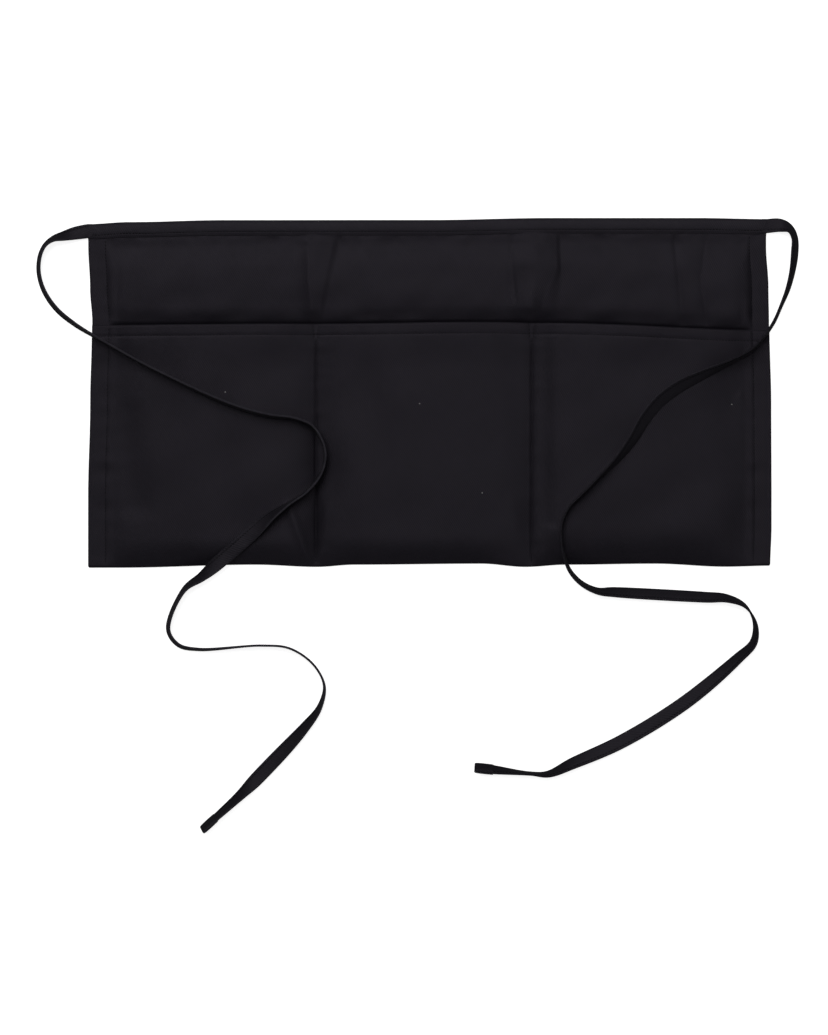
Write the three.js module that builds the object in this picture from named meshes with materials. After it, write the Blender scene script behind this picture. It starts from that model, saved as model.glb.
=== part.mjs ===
// A waist apron with three pockets, lying flat and face up. Millimetres, +Z up, +Y towards the waistband,
// +X to the wearer's left as it is worn, with the origin on the surface under the middle of the apron.
import * as THREE from "three";

// The apron
const apronWidth = 609.6;
const apronHeight = 312;
const cloth = 1; // each layer: the cloth, a turned hem, one side of the binding
const clearance = 0.3; // between layers and pieces

// The pockets
const pocketDepth = 219;
const leftDivider = 101.6; // distance of the seam from the middle
const rightDivider = 90.8;
const pocketPuff = 8; // how far the front stands off the back
const bottomRise = 26; // the length over which the front rises from the bottom fold
const foldDepth = 3; // the turned-up edge at the bottom
const pocketHemWidth = 10.7;

// The sides and the top
const sideHemWidth = 15.5;
const hemEase = 9; // the cloth comes down from a hem to the surface within this
const bandWidth = 13.7;
const bandEase = 12;
const bandRound = 1.2; // the roundness of the band's folded edge

// How far the edges leave the straight line
const sidePull = 4.7;
const topSag = 5.4;
const bottomWave = 3.6;
const mouthSlope = 7.2;

// Folds and creases
const upperBillow = 1.6; // the bulge of the cloth between the band and the mouths
const foldHeight = 4.2;
const foldReach = 9;
const foldFade = 1 / 6; // the share of a fold's length over which it rises, and again over which it ends
const puckerHeight = 1.3;
const puckerReach = 8;
const billowFade = 0.2; // the share of the upper part over which the bulge rises from a seam
const seamHold = 0.125; // the share of it over which a seam holds the folds down

// The ties
const tieWidth = 12.7;
const tieThickness = 2;
const tieEdge = 0.5; // the bevel along its edges
const endLength = 16; // the folded and sewn end
const endThickness = 3.6;

const halfWidth = apronWidth / 2;
const halfHeight = apronHeight / 2;
const layer = cloth + clearance; // from one layer to the next
const bandThickness = 2 * layer + cloth;

// Edges as tables: across is a share of half the width from the middle, up a share of the height.
const topEdge = [
  { across: -1, drop: 1 },
  { across: -0.88, drop: 0.67 },
  { across: -0.6, drop: 0.35 },
  { across: 0, drop: 0.33 },
  { across: 0.35, drop: 0 },
  { across: 0.8, drop: 0 },
  { across: 1, drop: 0.17 },
];
const bottomEdge = [
  { across: -1, rise: 0 },
  { across: -0.91, rise: 0 },
  { across: -0.51, rise: 0.75 },
  { across: -0.33, rise: 0.2 },
  { across: -0.22, rise: 0.75 },
  { across: 0.15, rise: 1 },
  { across: 0.28, rise: 0.2 },
  { across: 0.4, rise: 0.75 },
  { across: 0.66, rise: 1 },
  { across: 0.87, rise: 0.25 },
  { across: 1, rise: 0.5 },
];
const mouthEdge = [
  { across: -1, drop: 0.38 },
  { across: -0.33, drop: 0.2 },
  { across: 0.2, drop: 0 },
  { across: 0.33, drop: 0.12 },
  { across: 1, drop: 1 },
];
const sideEdges = [
  { up: 0, left: 0, right: 0.25 },
  { up: 0.12, left: 0, right: 0 },
  { up: 0.2, left: 0, right: 0 },
  { up: 0.47, left: 0.4, right: 0.06 },
  { up: 0.7, left: 0.77, right: 0.45 },
  { up: 0.8, left: 0.35, right: 0.55 },
  { up: 0.92, left: 0, right: 1 },
  { up: 1, left: 0, right: 1 },
];

// Folds of the upper part, from under the waistband down to the mouths. Reach and height are shares of
// foldReach and foldHeight. Below 0, a fold is a valley.
const upperFolds = [
  { fromAcross: -0.93, fromUp: 0.93, toAcross: -0.912, toUp: 0.71, reach: 0.8, height: 0.35 },
  { fromAcross: -0.58, fromUp: 0.95, toAcross: -0.57, toUp: 0.84, reach: 0.5, height: 0.3 },
  { fromAcross: -0.4, fromUp: 0.94, toAcross: -0.35, toUp: 0.71, reach: 1, height: 0.45 },
  { fromAcross: -0.326, fromUp: 0.94, toAcross: -0.333, toUp: 0.71, reach: 0.6, height: 1 },
  { fromAcross: -0.26, fromUp: 0.94, toAcross: -0.32, toUp: 0.71, reach: 1, height: 0.5 },
  { fromAcross: 0.21, fromUp: 0.94, toAcross: 0.28, toUp: 0.71, reach: 1, height: 0.4 },
  { fromAcross: 0.305, fromUp: 0.94, toAcross: 0.3, toUp: 0.71, reach: 1.1, height: 0.9 },
  { fromAcross: 0.425, fromUp: 0.94, toAcross: 0.36, toUp: 0.71, reach: 1, height: 0.75 },
  { fromAcross: 0.73, fromUp: 0.94, toAcross: 0.735, toUp: 0.72, reach: 0.6, height: 0.35 },
  { fromAcross: 0.79, fromUp: 0.94, toAcross: 0.83, toUp: 0.72, reach: 0.8, height: 0.45 },
];

// Puckers of the pocket fronts. Reach and height are shares of puckerReach and puckerHeight.
const pocketPuckers = [
  { fromAcross: -0.9, fromUp: 0.5, toAcross: -0.85, toUp: 0.12, reach: 1.6, height: -1 },
  { fromAcross: -0.4, fromUp: 0.16, toAcross: -0.34, toUp: 0, reach: 0.8, height: 1 },
  { fromAcross: -0.29, fromUp: 0.14, toAcross: -0.325, toUp: 0, reach: 0.8, height: 0.8 },
  { fromAcross: 0.25, fromUp: 0.18, toAcross: 0.285, toUp: 0, reach: 0.8, height: 1 },
  { fromAcross: 0.35, fromUp: 0.7, toAcross: 0.37, toUp: 0.1, reach: 1.6, height: -0.9 },
  { fromAcross: 0.36, fromUp: 0.13, toAcross: 0.315, toUp: 0, reach: 0.8, height: 0.8 },
  { fromAcross: 0.95, fromUp: 0.46, toAcross: 0.9, toUp: 0.5, reach: 0.7, height: 1 },
];

// The three pockets, from seam to seam. Puff is a share of pocketPuff.
const pockets = [
  { name: "left", from: -halfWidth, to: -leftDivider, puff: 1 },
  { name: "middle", from: -leftDivider, to: rightDivider, puff: 0.92 },
  { name: "right", from: rightDivider, to: halfWidth, puff: 1 },
];
const puffShape = 2.6; // the exponent of the puff's arch: the higher, the flatter its top
const mouthPuff = 0.9; // the share of the puff that is left at the mouth

const clamp = (value) => Math.min(1, Math.max(0, value));
const ease = (share) => (1 - Math.cos(Math.PI * clamp(share))) / 2;
const mix = (a, b, share) => a + (b - a) * share;

// The value of a column of a table at a place between its rows, with soft turns.
function read(table, key, column, at) {
  const next = table.findIndex((row) => row[key] >= at);
  if (next === 0) return table[0][column];
  if (next < 0) return table[table.length - 1][column];
  const [a, b] = [table[next - 1], table[next]];
  return mix(a[column], b[column], ease((at - a[key]) / (b[key] - a[key])));
}

const topAt = (x) => halfHeight - topSag * read(topEdge, "across", "drop", x / halfWidth);
const bottomAt = (x) => -halfHeight + bottomWave * read(bottomEdge, "across", "rise", x / halfWidth);
const mouthAt = (x) =>
  pocketDepth - halfHeight - mouthSlope * read(mouthEdge, "across", "drop", x / halfWidth);

// The sides are pulled in, and the pull fades out towards the dividers.
function pulledIn(x, y) {
  const up = (y + halfHeight) / apronHeight;
  const left = read(sideEdges, "up", "left", up) * clamp((-x - leftDivider) / (halfWidth - leftDivider));
  const right = read(sideEdges, "up", "right", up) * clamp((x - rightDivider) / (halfWidth - rightDivider));
  return x + sidePull * (left - right);
}

// The height that a table of folds adds at a place: a soft ridge along each fold's line.
function foldsAt(table, x, y, reach, height) {
  return table.reduce((sum, fold) => {
    const start = new THREE.Vector2(fold.fromAcross * halfWidth, fold.fromUp * apronHeight - halfHeight);
    const line = new THREE.Vector2(fold.toAcross * halfWidth, fold.toUp * apronHeight - halfHeight).sub(start);
    const offset = new THREE.Vector2(x, y).sub(start);
    const share = offset.dot(line) / line.lengthSq();
    const away = Math.abs(offset.cross(line)) / line.length() / (reach * fold.reach);
    const fade = ease(share / foldFade) * ease((1 - share) / foldFade);
    return sum + height * fold.height * Math.exp(-away * away) * fade;
  }, 0);
}

// Underside of the back cloth. It lies on the surface, on the side hems and between the band's two sides.
function bodyUnder(x, y) {
  const fromSide = halfWidth - Math.abs(x) - sideHemWidth - clearance;
  const belowBand = topAt(x) - bandWidth - clearance - y;
  const held = layer * Math.max(1 - ease(fromSide / hemEase), 1 - ease(belowBand / bandEase));
  const above = (y - mouthAt(x)) / (topAt(x) - bandWidth - mouthAt(x));
  const fromSeams = (hold) => ease(above / hold) * ease((1 - above) / hold);
  const free = ease(fromSide / (2 * hemEase)) * fromSeams(billowFade);
  const loose = upperBillow * Math.sin(Math.PI * clamp(above)) * free;
  const folds = foldsAt(upperFolds, x, y, foldReach, foldHeight) * fromSeams(seamHold);
  return Math.max(0, held + loose + folds);
}

// How far the pocket front stands off the back at a place.
function puffAt(x, y) {
  const pocket = pockets.find((each) => x <= each.to) || pockets[2];
  const inner = pocket.name === "left" ? pocket.from + sideHemWidth : pocket.from;
  const outer = pocket.name === "right" ? pocket.to - sideHemWidth : pocket.to;
  const across = 2 * clamp((x - inner) / (outer - inner)) - 1;
  const rise = clamp((y - bottomAt(x) - foldDepth) / bottomRise);
  const along = Math.sqrt(1 - (1 - rise) ** 2) * mix(1, mouthPuff, ease((y + halfHeight) / pocketDepth));
  const arch = 1 - Math.abs(across) ** puffShape;
  const puckers = foldsAt(pocketPuckers, x, y, puckerReach, puckerHeight) * ease(arch * 2);
  return Math.max(0, pocketPuff * pocket.puff * arch * along + puckers);
}

// Undersides of the pocket front, and of the hem turned to its inside.
const hemUnder = (x, y) => bodyUnder(x, Math.min(y, mouthAt(x))) + layer + puffAt(x, y);
function pocketUnder(x, y) {
  const belowHem = mouthAt(x) - pocketHemWidth - clearance - y;
  return hemUnder(x, y) + layer * (1 - ease(belowHem / (hemEase / 2)));
}

// Places across a stretch, closer together towards its two ends, where the seams are.
const seamShares = [0.015, 0.03, 0.06, 0.1, 0.15, 0.22, 0.3, 0.4];
const acrossShares = [...seamShares, 0.5, ...seamShares.map((share) => 1 - share).reverse()];
const between = (from, to) => acrossShares.map((share) => mix(from, to, share));
const columns = [
  -halfWidth,
  -halfWidth + sideHemWidth + clearance,
  ...between(-halfWidth + sideHemWidth + clearance, -leftDivider),
  -leftDivider,
  ...between(-leftDivider, rightDivider),
  rightDivider,
  ...between(rightDivider, halfWidth - sideHemWidth - clearance),
  halfWidth - sideHemWidth - clearance,
  halfWidth,
];

// A closed solid from rings of points: each ring has the same number of points, counterclockwise when it is
// seen from the ring after it, and the two end rings are capped.
function loftedSolid(rings) {
  const count = rings[0].length;
  const indices = [];
  for (let i = 0; i + 1 < rings.length; i++) {
    for (let j = 0; j < count; j++) {
      const [a, b] = [i * count + j, i * count + ((j + 1) % count)];
      indices.push(a, b, b + count, a, b + count, a + count);
    }
  }
  const flatten = (ring) => {
    const [origin, normal] = [ring[0], new THREE.Vector3()];
    ring.forEach((point, j) => {
      const next = ring[(j + 1) % count].clone().sub(origin);
      normal.add(point.clone().sub(origin).cross(next));
    });
    const side = ring[1].clone().sub(origin).normalize();
    const other = normal.normalize().cross(side);
    return ring.map((point) => {
      const offset = point.clone().sub(origin);
      return new THREE.Vector2(offset.dot(side), offset.dot(other));
    });
  };
  const last = (rings.length - 1) * count;
  THREE.ShapeUtils.triangulateShape(flatten(rings[0]), []).forEach(([a, b, c]) => indices.push(a, c, b));
  THREE.ShapeUtils.triangulateShape(flatten(rings[rings.length - 1]), []).forEach(([a, b, c]) =>
    indices.push(last + a, last + b, last + c),
  );
  const geometry = new THREE.BufferGeometry();
  const points = rings.flat().flatMap((point) => point.toArray());
  geometry.setAttribute("position", new THREE.Float32BufferAttribute(points, 3));
  geometry.setIndex(indices);
  geometry.computeVertexNormals();
  return geometry;
}

// A sheet of cloth as a closed solid. Each row gives, for a column x, its y and the heights of both faces.
function clothSheet(rows, sheetColumns = columns) {
  const rings = sheetColumns.map((x) => {
    const levels = rows.map((row) => row(x));
    const point = (level, z) => new THREE.Vector3(pulledIn(x, level.y), level.y, z);
    const upper = levels.map((level) => point(level, level.over));
    const lower = levels.map((level) => point(level, level.under));
    return [...lower, ...upper.reverse()];
  });
  return loftedSolid(rings);
}

const level = (y, under, thickness = cloth) => ({ y, under, over: under + thickness });

// Rows of the back cloth: shares of the way from the bottom fold to the mouths, and from there to the band.
const lowerShares = [0, 0.35, 0.7, 0.97];
const upperShares = [0, 0.08, 0.17, 0.27, 0.38, 0.5, 0.62, 0.74, 0.84, 0.92, 1];

// The back cloth, from the bottom fold to inside the waistband.
function bodyGeometry() {
  const start = (x) => bottomAt(x) + foldDepth + 2 * clearance;
  const end = (x) => topAt(x) - bandRound - cloth;
  const lowerRows = lowerShares.map((share) => (x) => mix(start(x), mouthAt(x), share));
  const upperRows = upperShares.map((share) => (x) => mix(mouthAt(x), topAt(x) - bandWidth, share));
  const placed = [...lowerRows, ...upperRows, end];
  return clothSheet(placed.map((place) => (x) => level(place(x), bodyUnder(x, place(x)))));
}

// The rounded bottom fold, in shares of its depth and of its thickness, and the rows of the pocket front as
// shares of the way from it to the mouths.
const bottomFold = [
  { in: 0, under: 0.28, over: 0.72 },
  { in: 0.3, under: 0.05, over: 0.95 },
  { in: 1, under: 0, over: 1 },
];
const frontShares = [0.015, 0.035, 0.065, 0.1, 0.15, 0.25, 0.38, 0.52, 0.66, 0.8, 0.89];

// The pocket front, with the fold at its bottom edge.
function pocketGeometry() {
  const foldThickness = layer + cloth;
  const foldRows = bottomFold.map((row) => (x) => ({
    y: bottomAt(x) + row.in * foldDepth,
    under: row.under * foldThickness + row.under * bodyUnder(x, bottomAt(x)),
    over: row.over * foldThickness + bodyUnder(x, bottomAt(x)),
  }));
  const frontRows = [
    (x) => bottomAt(x) + foldDepth + clearance,
    ...frontShares.map((share) => (x) => mix(bottomAt(x) + foldDepth, mouthAt(x), share)),
    (x) => mouthAt(x) - pocketHemWidth - clearance,
    (x) => mouthAt(x) - pocketHemWidth / 2,
    (x) => mouthAt(x),
  ].map((place) => (x) => level(place(x), pocketUnder(x, place(x))));
  return clothSheet([...foldRows, ...frontRows]);
}

// The hem inside the pockets' mouths, under the front.
function pocketHemGeometry() {
  const rows = [1, 0.5, 0].map((share) => (x) => {
    const y = mouthAt(x) - share * pocketHemWidth;
    return level(y, hemUnder(x, y));
  });
  return clothSheet(rows);
}

const sideShares = [0, 0.12, 0.25, 0.4, 0.55, 0.7, 0.8, 0.9, 1]; // rows of a side hem, from the bottom up

// A side hem, under the edge of the back cloth.
function sideHemGeometry(side) {
  const edges = [side * halfWidth, side * (halfWidth - sideHemWidth)].sort((a, b) => a - b);
  const rows = sideShares.map((share) => (x) => {
    const start = bottomAt(x) + foldDepth + 2 * clearance;
    return level(mix(start, topAt(x) - bandWidth - clearance, share), 0);
  });
  return clothSheet(rows, edges);
}

// The waistband: a tape folded over the top edge of the cloth, open downwards.
function waistbandGeometry() {
  const profile = (top) => [
    [top - bandWidth, 0],
    [top - bandRound, 0],
    [top, bandRound],
    [top, bandThickness - bandRound],
    [top - bandRound, bandThickness],
    [top - bandWidth, bandThickness],
    [top - bandWidth, bandThickness - cloth],
    [top - cloth, bandThickness - cloth],
    [top - cloth, cloth],
    [top - bandWidth, cloth],
  ];
  const stations = columns.filter((x, i) => i % 3 === 0 || Math.abs(x) === halfWidth);
  const rings = stations.map((x) =>
    profile(topAt(x)).map(([y, z]) => new THREE.Vector3(pulledIn(x, halfHeight), y, z)),
  );
  return loftedSolid(rings);
}

// The ties' routes. x and y run from the middle of the waistband's end, under is the height of what the tie
// lies on, and roll turns the flat tape about its own line, in degrees: 0 is flat, 90 on its edge.
const leftRoute = [
  { x: 0, y: 0, under: 0.8, roll: 4 },
  { x: -11, y: -2, under: 0.3, roll: 22 },
  { x: -21, y: -4.5, under: 0.2, roll: 45 },
  { x: -30, y: -7, under: 0.2, roll: 62 },
  { x: -37, y: -12, under: 0.2, roll: 70 },
  { x: -41.5, y: -20, under: 0.2, roll: 71 },
  { x: -43.5, y: -33, under: 0.2, roll: 72 },
  { x: -41.5, y: -46, under: 0.2, roll: 73 },
  { x: -36, y: -58.5, under: 0.2, roll: 75 },
  { x: -26, y: -71.5, under: 0.2, roll: 78 },
  { x: -11, y: -83.5, under: 1.6, roll: 79 },
  { x: 6, y: -94, under: 5.6, roll: 79 },
  { x: 28, y: -106.5, under: 5.3, roll: 79 },
  { x: 62, y: -125, under: 8.5, roll: 79 },
  { x: 129, y: -156, under: 10, roll: 79 },
  { x: 162, y: -165, under: 8.6, roll: 79 },
  { x: 184, y: -167.5, under: 6.3, roll: 78 },
  { x: 200, y: -174, under: 4, roll: 77 },
  { x: 209, y: -187, under: 3.8, roll: 76 },
  { x: 212, y: -201, under: 4.1, roll: 76 },
  { x: 208, y: -217, under: 3.8, roll: 77 },
  { x: 196, y: -232, under: 4.5, roll: 78 },
  { x: 179, y: -243.5, under: 7.2, roll: 70 },
  { x: 163, y: -255, under: 8.9, roll: 36 },
  { x: 142, y: -274, under: 10.1, roll: 16 },
  { x: 120, y: -293, under: 8, roll: 24 },
  { x: 102, y: -308, under: 1.8, roll: 56 },
  { x: 86, y: -320, under: 0.2, roll: 71 },
  { x: 72, y: -355, under: 0.2, roll: 74 },
  { x: 81, y: -369, under: 0.2, roll: 75 },
  { x: 99, y: -373, under: 0.2, roll: 80 },
  { x: 155, y: -369.5, under: 0.2, roll: 88 },
  { x: 180, y: -372, under: 0.2, roll: 86 },
  { x: 201, y: -386, under: 0.2, roll: 87 },
  { x: 211, y: -405, under: 0.2, roll: 84 },
  { x: 207, y: -424, under: 0.2, roll: 72 },
  { x: 194, y: -442, under: 0.2, roll: 50 },
  { x: 155, y: -484, under: 0.2, roll: 12 },
  { x: 137, y: -502, under: 0.2, roll: 50 },
  { x: 114, y: -523, under: 0.2, roll: 66 },
];
const rightRoute = [
  { x: 0, y: 0, under: 0.8, roll: -4 },
  { x: 12, y: 0.5, under: 0.6, roll: -20 },
  { x: 20.5, y: -3, under: 0.2, roll: -52 },
  { x: 24.5, y: -11, under: 0.2, roll: -60 },
  { x: 24.5, y: -24, under: 0.2, roll: -57 },
  { x: 22.5, y: -40, under: 0.2, roll: -64 },
  { x: 18.5, y: -56, under: 0.3, roll: -73 },
  { x: 12.5, y: -71, under: 0.6, roll: -84 },
  { x: 5.5, y: -86, under: 4.2, roll: -82 },
  { x: -2.5, y: -98, under: 5.8, roll: -80 },
  { x: -14, y: -111, under: 4.6, roll: -78 },
  { x: -36, y: -123, under: 6.4, roll: -74 },
  { x: -58, y: -133, under: 8.4, roll: -58 },
  { x: -80, y: -144, under: 9.4, roll: -48 },
  { x: -97, y: -157, under: 9.9, roll: -47 },
  { x: -110, y: -173, under: 10.1, roll: -50 },
  { x: -121, y: -191, under: 10.2, roll: -60 },
  { x: -134, y: -208, under: 10.1, roll: -70 },
  { x: -150, y: -224, under: 9.8, roll: -81 },
  { x: -165, y: -239, under: 8.9, roll: -84 },
  { x: -177, y: -251, under: 7.4, roll: -86 },
  { x: -183, y: -264, under: 7.1, roll: -86 },
  { x: -184, y: -278, under: 7.3, roll: -86 },
  { x: -181.5, y: -293, under: 6, roll: -83 },
  { x: -176, y: -307, under: 1.4, roll: -77 },
  { x: -165.5, y: -318.5, under: 0.2, roll: -73 },
  { x: -151, y: -325.5, under: 0.2, roll: -66 },
  { x: -135.5, y: -326.5, under: 0.2, roll: -50 },
  { x: -55, y: -331, under: 0.2, roll: -46 },
  { x: -36, y: -332, under: 0.2, roll: -59 },
  { x: -20, y: -338.5, under: 0.2, roll: -77 },
  { x: -11, y: -353, under: 0.2, roll: -95 },
  { x: -12, y: -371, under: 0.2, roll: -112 },
  { x: -26, y: -385.5, under: 0.2, roll: -128 },
  { x: -73, y: -425, under: 0.2, roll: -162 },
  { x: -129, y: -459.5, under: 0.2, roll: -158 },
  { x: -173, y: -479, under: 0.2, roll: -135 },
  { x: -195, y: -488.5, under: 0.2, roll: -108 },
  { x: -211, y: -488, under: 0.2, roll: -96 },
  { x: -244.5, y: -484.5, under: 0.2, roll: -120 },
];

// The line of a tie's middle through its route, and the roll along it.
function tieCourse(route, side) {
  const exitX = pulledIn(side * halfWidth, halfHeight) + side * clearance;
  const exitY = topAt(side * halfWidth) - tieWidth / 2;
  const points = route.map(({ x, y, under }) => new THREE.Vector3(exitX + x, exitY + y, under));
  const ground = new THREE.CatmullRomCurve3(points, false, "centripetal");
  const rolls = new THREE.SplineCurve(route.map(({ roll }, i) => new THREE.Vector2(i, roll)));
  const squareExit = new THREE.Vector3(side, 0, 0);
  return (share) => {
    const roll = THREE.MathUtils.degToRad(rolls.getPoint(share).y);
    const rise = (Math.abs(Math.sin(roll)) * tieWidth + Math.abs(Math.cos(roll)) * tieThickness) / 2;
    const point = ground.getPoint(share);
    const along = share > 0 ? ground.getTangent(share) : squareExit;
    return { point: point.setZ(point.z + rise), along, roll };
  };
}

// An eight-sided ring of the flat tape around a point of its line.
function tapeRing(point, along, roll, width, thickness) {
  const sideways = new THREE.Vector3(0, 0, 1).cross(along).normalize();
  const upwards = along.clone().cross(sideways).normalize();
  const wide = sideways.clone().multiplyScalar(Math.cos(roll)).addScaledVector(upwards, Math.sin(roll));
  const thick = along.clone().cross(wide).normalize();
  const [a, b] = [width / 2, thickness / 2];
  const outline = [
    [a, tieEdge - b], [a, b - tieEdge], [a - tieEdge, b], [tieEdge - a, b],
    [-a, b - tieEdge], [-a, tieEdge - b], [tieEdge - a, -b], [a - tieEdge, -b],
  ];
  return outline.map(([u, v]) => point.clone().addScaledVector(wide, u).addScaledVector(thick, v));
}

const stepsPerPoint = 2; // rings of a tie from one point of its route to the next

function tieGeometry(route, course) {
  const steps = stepsPerPoint * (route.length - 1);
  const rings = Array.from({ length: steps + 1 }, (_, i) => {
    const { point, along, roll } = course(i / steps);
    return tapeRing(point, along, roll, tieWidth, tieThickness);
  });
  return loftedSolid(rings);
}

// Rings of a tie's end, in shares of its length, width and thickness.
const endStations = [
  { share: 0, width: 1, thickness: 0.8 },
  { share: 0.08, width: 1, thickness: 1 },
  { share: 0.92, width: 1, thickness: 1 },
  { share: 1, width: 0.94, thickness: 0.6 },
];

// The end of a tie: the tape turned back on itself and sewn, so twice as thick.
function tieEndGeometry(course) {
  const { point, along, roll } = course(1);
  const extra = ((endThickness - tieThickness) / 2) * Math.abs(Math.cos(roll));
  const rings = endStations.map(({ share, width, thickness }) => {
    const middle = point.clone().addScaledVector(along, clearance + share * endLength);
    middle.z += extra;
    return tapeRing(middle, along, roll, width * tieWidth, thickness * endThickness);
  });
  return loftedSolid(rings);
}

const apron = new THREE.Group();

function addPiece(name, geometry, color, roughness) {
  const material = new THREE.MeshStandardMaterial({ color, roughness, metalness: 0 });
  const mesh = new THREE.Mesh(geometry, material);
  mesh.name = name;
  apron.add(mesh);
}

const leftCourse = tieCourse(leftRoute, -1);
const rightCourse = tieCourse(rightRoute, 1);
addPiece("body_panel", bodyGeometry(), 0x1f1e23, 0.9);
addPiece("pocket_panel", pocketGeometry(), 0x201f24, 0.9);
addPiece("pocket_hem", pocketHemGeometry(), 0x222126, 0.9);
addPiece("side_hem_left", sideHemGeometry(-1), 0x1f1e23, 0.9);
addPiece("side_hem_right", sideHemGeometry(1), 0x1f1e23, 0.9);
addPiece("waistband", waistbandGeometry(), 0x232227, 0.85);
addPiece("tie_left", tieGeometry(leftRoute, leftCourse), 0x201f24, 0.85);
addPiece("tie_right", tieGeometry(rightRoute, rightCourse), 0x201f24, 0.85);
addPiece("tie_end_left", tieEndGeometry(leftCourse), 0x1c1b20, 0.85);
addPiece("tie_end_right", tieEndGeometry(rightCourse), 0x1c1b20, 0.85);

export default apron;
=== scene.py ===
import math

import bpy
import numpy as np
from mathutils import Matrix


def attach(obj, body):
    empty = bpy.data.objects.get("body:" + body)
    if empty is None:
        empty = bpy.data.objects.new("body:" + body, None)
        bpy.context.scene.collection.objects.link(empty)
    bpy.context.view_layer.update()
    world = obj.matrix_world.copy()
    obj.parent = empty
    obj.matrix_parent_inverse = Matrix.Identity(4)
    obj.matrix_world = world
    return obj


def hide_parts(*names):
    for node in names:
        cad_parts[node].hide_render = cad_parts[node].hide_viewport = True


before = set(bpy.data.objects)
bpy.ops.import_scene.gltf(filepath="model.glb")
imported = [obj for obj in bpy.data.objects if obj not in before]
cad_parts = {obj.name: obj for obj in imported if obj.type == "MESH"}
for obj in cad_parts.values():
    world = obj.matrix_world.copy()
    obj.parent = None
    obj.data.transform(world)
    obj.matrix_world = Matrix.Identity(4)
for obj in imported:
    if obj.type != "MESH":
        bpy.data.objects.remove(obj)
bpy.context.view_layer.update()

# The back cloth. The apron is one length of black polyester and cotton twill, a single layer behind the
# pockets and above them. It is sewn into the waistband along its top, and between the band and the
# pockets it lies loose, so it fans into folds above the two seams that divide the pockets.
apron_width = 0.6096
apron_height = 0.312
half_width = apron_width / 2
half_height = apron_height / 2
cloth = 0.001  # the height that a layer takes in the pile
cloth_thickness = 0.0009
layer = 0.0013  # from one layer to the next
gap = 0.0003  # between layers and pieces
table_gap = 0.00005  # what keeps the lowest points off the table
side_hem_width = 0.0155
hem_ease = 0.009  # the width over which the cloth comes down from a side hem
band_width = 0.0137
band_ease = 0.012  # and from the band
pocket_depth = 0.219
left_divider = 0.1016
right_divider = 0.0908
side_pull = 0.0047  # how far the sides are drawn in at the most
top_sag = 0.0054  # how far the top edge comes down at the most
bottom_wave = 0.0036  # how far the bottom edge rises at the most
mouth_slope = 0.0072  # how far the pockets' mouths come down at the most
fold_depth = 0.003  # the turned-up edge at the bottom

# Edges as (share of half the width from the middle, share of the drop or rise there).
top_edge = [(-1, 1), (-0.88, 0.67), (-0.6, 0.35), (0, 0.33), (0.35, 0), (0.8, 0), (1, 0.17)]
bottom_edge = [(-1, 0), (-0.91, 0), (-0.51, 0.75), (-0.33, 0.2), (-0.22, 0.75), (0.15, 1),
               (0.28, 0.2), (0.4, 0.75), (0.66, 1), (0.87, 0.25), (1, 0.5)]
mouth_edge = [(-1, 0.38), (-0.33, 0.2), (0.2, 0), (0.33, 0.12), (1, 1)]
# Sides as (share of the height, share of the pull there).
left_edge = [(0, 0), (0.2, 0), (0.47, 0.4), (0.7, 0.77), (0.8, 0.35), (0.92, 0), (1, 0)]
right_edge = [(0, 0.25), (0.12, 0), (0.2, 0), (0.47, 0.06), (0.7, 0.45), (0.8, 0.55), (0.92, 1), (1, 1)]
# Pleats of the upper part, each as rows from the band, 1, to the pockets' mouths, 0: where it starts to
# rise, its left and right edge on top and where it is down again, and its height, all in millimetres.
left_pleat = [(1, -122, -108.5, -87, -79, 3.4), (0.5, -121, -108.5, -95, -87, 3.6),
              (0.2, -121, -106, -99, -93, 3.6), (0, -118, -103.5, -99, -94, 3.6)]
right_pleat = [(1, 60, 94, 112, 117, 3.4), (0.6, 64, 96, 113, 118, 3.6), (0.4, 66, 92, 104, 118, 4.2),
               (0, 68, 90, 96, 116, 4)]
pleat_fall = 0.55  # how much a pleat has come down at its right edge
sharp_rise = 1.9  # how steeply a sharp left edge rises to its crest
# Creases as (x at the band, x at the mouths, half the width, depth, from, to), in millimetres and shares.
upper_creases = [
    (-276, -283, 3, 0.6, 0.05, 0.85), (-173, -172, 2, 0.5, 0.7, 1), (-64, -62, 2.5, 0.3, 0.75, 1),
    (70.6, 78, 2, 0.6, 0.2, 1), (155, 156, 1.8, 0.4, 0.72, 1), (221, 226.5, 2.6, 0.95, 0, 1),
    (250, 238, 2, 0.6, 0.55, 1), (238, 249, 2.4, 0.75, 0, 0.6), (281, 280, 2, 0.5, 0, 0.3),
]
upper_billow = 0.0016  # the most that the loose upper part stands off the table
mouth_dip = 0.002  # the cloth comes down this much behind the pockets' mouths
mouth_dip_reach = 0.015
mouth_tuck = 0.0009  # and right behind their edges it is tucked down
mouth_tuck_reach = 0.0032


def mix(a, b, share):
    """a at a share of 0, b at 1, and between them in a straight line."""
    return a + (b - a) * share


def ease(share):
    """0 to 1 with soft ends."""
    return (1 - np.cos(np.pi * np.clip(share, 0, 1))) / 2


def read(table, at):
    """The value of a table of (place, value) at a place, with soft turns between its rows."""
    places, values = np.array(table, float).T
    row = np.clip(np.searchsorted(places, at) - 1, 0, len(places) - 2)
    share = (at - places[row]) / (places[row + 1] - places[row])
    return mix(values[row], values[row + 1], ease(share))


def top_at(x):
    """The y of the apron's top edge."""
    return half_height - top_sag * read(top_edge, x / half_width)


def bottom_at(x):
    """The y of its bottom fold."""
    return bottom_wave * read(bottom_edge, x / half_width) - half_height


def mouth_at(x):
    """The y of the pockets' mouths."""
    return pocket_depth - half_height - mouth_slope * read(mouth_edge, x / half_width)


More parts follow.
